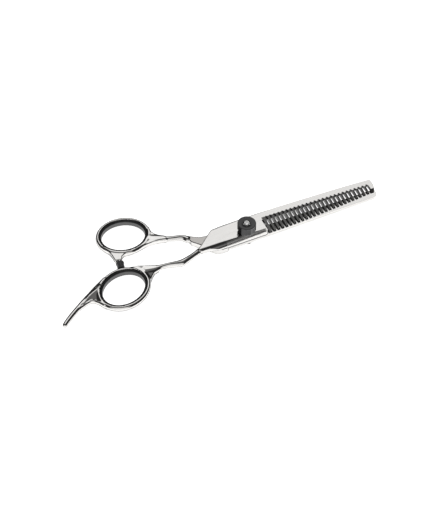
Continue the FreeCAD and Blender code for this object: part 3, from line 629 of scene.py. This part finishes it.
def painted_light_below(finish, tone, start, full):
    """A painted lighter tone below a height, standing in for the table's light reflected on the inner wall of
    the rubber inserts.
    """
    tree = finish.node_tree
    place = tree.nodes.new("ShaderNodeTexCoord")
    split = tree.nodes.new("ShaderNodeSeparateXYZ")
    tree.links.new(place.outputs["Object"], split.inputs["Vector"])
    share = node(tree, "ShaderNodeMapRange", From_Min=start * MM, From_Max=full * MM)
    tree.links.new(split.outputs["Z"], share.inputs["Value"])
    mix_tone(finish, share.outputs["Result"], tone)


def dark_edges(finish, tone, start, full):
    """A dark tone where the steel turns away from the eye, in place of a reflection of a dark room."""
    tree = finish.node_tree
    weight = node(tree, "ShaderNodeLayerWeight", Blend=0.5)
    share = node(tree, "ShaderNodeMapRange", From_Min=start, From_Max=full)
    share.interpolation_type = "SMOOTHSTEP"
    tree.links.new(weight.outputs["Facing"], share.inputs["Value"])
    mix_tone(finish, share.outputs["Result"], tone)


def dark_region(finish, tone, limits):
    """Leaves a finish dark where every limit holds: (source, axis, comparison, value)."""
    tree = finish.node_tree
    surface = tree.nodes.new("ShaderNodeNewGeometry")
    place = tree.nodes.new("ShaderNodeTexCoord")
    sources = {}
    for key, socket in (("normal", surface.outputs["True Normal"]), ("place", place.outputs["Object"])):
        sources[key] = tree.nodes.new("ShaderNodeSeparateXYZ")
        tree.links.new(socket, sources[key].inputs["Vector"])
    share = None
    for key, axis, comparison, value in limits:
        test = tree.nodes.new("ShaderNodeMath")
        test.operation = comparison
        test.inputs[1].default_value = value
        tree.links.new(sources[key].outputs[axis], test.inputs[0])
        if share is None:
            share = test.outputs[0]
            continue
        both = tree.nodes.new("ShaderNodeMath")
        both.operation = "MULTIPLY"
        tree.links.new(share, both.inputs[0])
        tree.links.new(test.outputs[0], both.inputs[1])
        share = both.outputs[0]
    mix_tone(finish, share, tone)


def dress(obj, finish):
    """Gives an object one material."""
    obj.data.materials.clear()
    obj.data.materials.append(finish)


def ground_steel(name):
    """Steel ground lengthwise, for the blades and the flat that runs on from the comb."""
    return material(name, 1.0, (0.64, 0.63, 0.615), (0.70, 0.69, 0.675), (0.14, 0.20), 900.0,
                    stretch=(0.08, 1.0, 1.0))


def comb_finish():
    """Ground steel with painted shade on the slot walls and a painted dark reflection on the relief along the
    far edge.
    """
    finish = ground_steel("comb_steel")
    # painted shade: slot walls darkened where shade falls between the teeth
    dark_region(finish, PAINTED_DARK_TONE, (
        ("normal", "Z", "LESS_THAN", 0.3),
        ("place", "X", "GREATER_THAN", SLOT_WALLS_X[0] * MM),
        ("place", "X", "LESS_THAN", SLOT_WALLS_X[1] * MM),
        ("place", "Y", "LESS_THAN", SLOT_WALLS_FAR_Y * MM),
    ))
    # painted dark reflection on the sloping face of the relief along the far edge
    dark_region(finish, PAINTED_DARK_TONE, (
        ("normal", "Z", "LESS_THAN", 0.96),
        ("normal", "Z", "GREATER_THAN", 0.5),
        ("place", "Y", "GREATER_THAN", RELIEF_NEAR_Y * MM),
        ("place", "X", "LESS_THAN", RELIEF_END_X * MM),
    ))
    return finish


def edge_finish():
    """Ground steel with a painted shadow line in the gap under the comb half's flank."""
    finish = ground_steel("edge_steel")
    # painted shadow: the gap between the blades darkened by position
    dark_region(finish, GAP_SHADOW_TONE, (
        ("place", "Y", "LESS_THAN", GAP_LINE_FAR_Y * MM),
        ("place", "Z", "GREATER_THAN", GAP_LINE_LOW_Z * MM),
        ("place", "X", "LESS_THAN", GAP_LINE_END_X * MM),
    ))
    return finish


def polished_finish():
    """The mirror finish of the forged handles, with a painted dark reflection where the steel turns away from
    the eye.
    """
    finish = material("polished_steel", 1.0, (0.66, 0.65, 0.635), (0.72, 0.71, 0.695), (0.05, 0.10), 180.0)
    # painted reflection of a dark room, laid on by how far the surface turns from the eye
    dark_edges(finish, DARK_ROOM_REFLECTION_TONE, 0.38, 0.78)
    return finish


def insert_rubber():
    """Black rubber, with a painted reflection of the table's light low down on the inner wall."""
    finish = material("insert_rubber", 0.0, (0.008, 0.008, 0.008), (0.014, 0.014, 0.014), (0.30, 0.42), 500.0,
                      bump=0.004, bump_scale=2500.0)
    finish.node_tree.nodes["Principled BSDF"].inputs["Specular IOR Level"].default_value = 0.25
    # painted reflection: the rubber is lighter below this height, as if lit from the table
    painted_light_below(finish, PAINTED_TABLE_LIGHT_TONE, 2.75, 2.45)
    return finish


polished = polished_finish()
satin = ground_steel("satin_steel")
comb_steel = comb_finish()
edge_steel = edge_finish()
brushed = material("brushed_steel", 1.0, (0.40, 0.385, 0.37), (0.46, 0.445, 0.43), (0.16, 0.24), 900.0,
                   stretch=(1.0, 0.08, 1.0))
cap_steel = material("cap_steel", 0.35, (0.88, 0.88, 0.87), (0.94, 0.94, 0.93), (0.20, 0.28), 400.0)
screw_steel = material("screw_steel", 1.0, (0.66, 0.66, 0.65), (0.76, 0.76, 0.75), (0.12, 0.22), 400.0)
brass = material("bush_brass", 1.0, (0.62, 0.45, 0.20), (0.74, 0.56, 0.28), (0.15, 0.3), 400.0)
ptfe = material("glide_ptfe", 0.0, (0.78, 0.77, 0.74), (0.86, 0.85, 0.82), (0.4, 0.5), 300.0)
knob_black = material("knob_black", 0.0, (0.008, 0.008, 0.009), (0.016, 0.016, 0.017), (0.10, 0.18), 300.0)
rubber = insert_rubber()
pad_rubber = material("bumper_rubber", 0.0, (0.025, 0.025, 0.026), (0.045, 0.045, 0.046), (0.42, 0.55), 600.0,
                      bump=0.01, bump_scale=2500.0)

for name, finish in (
    ("comb_blade", comb_steel), ("edge_blade", edge_steel), ("pivot_screw", screw_steel),
    ("knob_core", screw_steel), ("base_washer", screw_steel), ("tension_spring", screw_steel),
    ("click_plate", screw_steel), ("click_balls", screw_steel), ("click_springs", screw_steel),
    ("bumper_stud", polished), ("pivot_bush", brass), ("glide_washer", ptfe),
    ("finger_insert", rubber), ("thumb_insert", rubber),
):
    dress(nodes[name], finish)


# ---------------------------------------------------------------- building the pieces

def grind_flats(obj, finish, level, from_x):
    """The ground faces that run on into a blade take the blade's finish."""
    obj.data.materials.append(finish)
    for face in obj.data.polygons:
        on_face = face.normal.z > LEVEL_NORMAL and abs(face.center.z - level * MM) < LEVEL_REACH * MM
        if on_face and face.center.x > from_x * MM:
            face.material_index = 1


def place_handles():
    """The two forged handles."""
    finger = sculpt("finger_handle_forged", finger_field, (-102.5, -20.5, 0.0), (-11.2, 9.5, 7.2), CELL)
    thumb = sculpt("thumb_handle_forged", thumb_field, (-69.5, -4.8, 0.0), (-11.2, 38.5, 5.2), CELL)
    halves = ((finger, "finger_half", "finger_handle"), (thumb, "thumb_half", "thumb_handle"))
    for obj, body, replaced in halves:
        dress(obj, polished)
        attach(obj, body)
        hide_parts(replaced)
    grind_flats(finger, satin, COMB_TOP, FINGER_GROUND_X)
    grind_flats(thumb, brushed, EDGE_TOP, THUMB_GROUND_X)


def place_knob():
    """The knob and the screw in its middle."""
    knob = sculpt("tension_knob_fluted", knob_field, (-4.9, -4.9, 6.7), (4.9, 4.9, 12.5), KNOB_CELL)
    dress(knob, knob_black)
    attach(knob, "knob")
    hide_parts("tension_knob")
    cap = sculpt("knob_cap_domed", cap_field, (-1.8, -1.8, 9.6), (1.8, 1.8, 13.5), CAP_CELL)
    dress(cap, cap_steel)
    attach(cap, "thumb_half")
    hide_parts("knob_cap_screw")


def place_bumper():
    """The rubber pad between the rings."""
    pad = sculpt("bumper_pad_rounded", pad_field, (-66.0, 5.0, -0.2), (-59.5, 13.0, 4.8), PAD_CELL)
    dress(pad, pad_rubber)
    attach(pad, "thumb_half")
    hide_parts("bumper_pad")


def place_spring():
    """The dished spring washer under the knob."""
    corners = len(SPRING_SECTION)
    points, quads = [], []
    for step in range(SPRING_SEGMENTS):
        angle = 2 * math.pi * step / SPRING_SEGMENTS
        following = (step + 1) % SPRING_SEGMENTS
        for corner, (radius, height) in enumerate(SPRING_SECTION):
            points.append(Vector((radius * math.cos(angle), radius * math.sin(angle), height)) * MM)
            beside = (corner + 1) % corners
            quads.append((step * corners + corner, following * corners + corner,
                          following * corners + beside, step * corners + beside))
    mesh = bpy.data.meshes.new("tension_spring_flexing")
    mesh.from_pydata(points, [], quads)
    mesh.update()
    spring = bpy.data.objects.new("tension_spring_flexing", mesh)
    bpy.context.scene.collection.objects.link(spring)
    dress(spring, screw_steel)
    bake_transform(spring)
    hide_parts("tension_spring")


place_handles()
place_knob()
place_spring()
place_bumper()


# ---------------------------------------------------------------- table, light and camera

def place_floor():
    """A plain white table that also gives off light of its own."""
    bpy.ops.mesh.primitive_plane_add(size=6.0, location=(0, 0, 0))
    floor = bpy.context.object
    floor.name = "table"
    white = material("table_white", 0.0, (0.90, 0.90, 0.90), (0.93, 0.93, 0.93), (0.85, 0.95), 6.0)
    shader = white.node_tree.nodes["Principled BSDF"]
    shader.inputs["Specular IOR Level"].default_value = 0.1
    shader.inputs["Emission Color"].default_value = (1.0, 1.0, 1.0, 1.0)
    shader.inputs["Emission Strength"].default_value = TABLE_GLOW
    floor.data.materials.append(white)


def glow(tree, direction, inner, outer, value):
    """Light from a soft panel: full inside one angle from its middle, none past another."""
    place = tree.nodes.new("ShaderNodeTexCoord")
    dot = tree.nodes.new("ShaderNodeVectorMath")
    dot.operation = "DOT_PRODUCT"
    dot.inputs[1].default_value = direction
    tree.links.new(place.outputs["Generated"], dot.inputs[0])
    edge = node(tree, "ShaderNodeMapRange", From_Min=math.cos(math.radians(outer)),
                From_Max=math.cos(math.radians(inner)), To_Min=0.0, To_Max=value)
    edge.interpolation_type = "SMOOTHSTEP"
    tree.links.new(dot.outputs["Value"], edge.inputs["Value"])
    return edge.outputs["Result"]


def toward(turn, elevation):
    """A direction from the object; turn 0 is straight away from the camera."""
    azimuth, elevation = math.radians(CAMERA_TURN + turn), math.radians(elevation)
    level = math.cos(elevation)
    return (math.sin(azimuth) * level, math.cos(azimuth) * level, math.sin(elevation))


def soft_lamp(name, direction, distance, size, energy):
    """A large diffuse lamp that doesn't show in the steel."""
    data = bpy.data.lights.new(name, "AREA")
    data.shape = "DISK"
    data.size = size
    data.energy = energy
    lamp = bpy.data.objects.new(name, data)
    lamp.location = Vector(direction) * distance
    lamp.rotation_mode = "QUATERNION"
    lamp.rotation_quaternion = (-lamp.location).to_track_quat("-Z", "Y")
    bpy.context.scene.collection.objects.link(lamp)
    lamp.visible_glossy = False


def light_room():
    """A dim room with two soft panels beyond the object, one behind the camera, and two lamps."""
    world = bpy.data.worlds.new("room")
    bpy.context.scene.world = world
    world.use_nodes = True
    tree = world.node_tree
    total = None
    for direction, inner, outer, value in PANELS:
        add = tree.nodes.new("ShaderNodeMath")
        add.inputs[0].default_value = ROOM_GREY
        if total is not None:
            tree.links.new(total, add.inputs[0])
        tree.links.new(glow(tree, toward(*direction), inner, outer, value), add.inputs[1])
        total = add.outputs[0]
    background = tree.nodes["Background"]
    tree.links.new(total, background.inputs["Color"])
    for name, direction, distance, size, energy in LAMPS:
        soft_lamp(name, toward(*direction), distance, size, energy)


def place_camera():
    """Above and to one side of the handles, at arm's length."""
    azimuth, elevation = math.radians(-CAMERA_TURN), math.radians(CAMERA_ELEVATION)
    level = math.cos(elevation)
    back = Vector((math.sin(azimuth) * level, -math.cos(azimuth) * level, math.sin(elevation)))
    right = Vector((math.cos(azimuth), math.sin(azimuth), 0.0))
    up = back.cross(right)
    place = Vector((0, 0, PIVOT_HEIGHT)) + back * CAMERA_REACH - right * PIVOT_RIGHT - up * PIVOT_ABOVE
    camera = bpy.data.cameras.new("camera")
    camera.sensor_width = CAMERA_SENSOR
    camera.lens = CAMERA_LENS
    camera.clip_start, camera.clip_end = 0.01, 20.0
    obj = bpy.data.objects.new("camera", camera)
    turn = Matrix((right, up, back)).transposed()
    obj.matrix_world = Matrix.Translation(place * MM) @ turn.to_4x4()
    bpy.context.scene.collection.objects.link(obj)
    bpy.context.scene.camera = obj


place_floor()
light_room()
place_camera()
bpy.context.scene.view_settings.view_transform = "Standard"
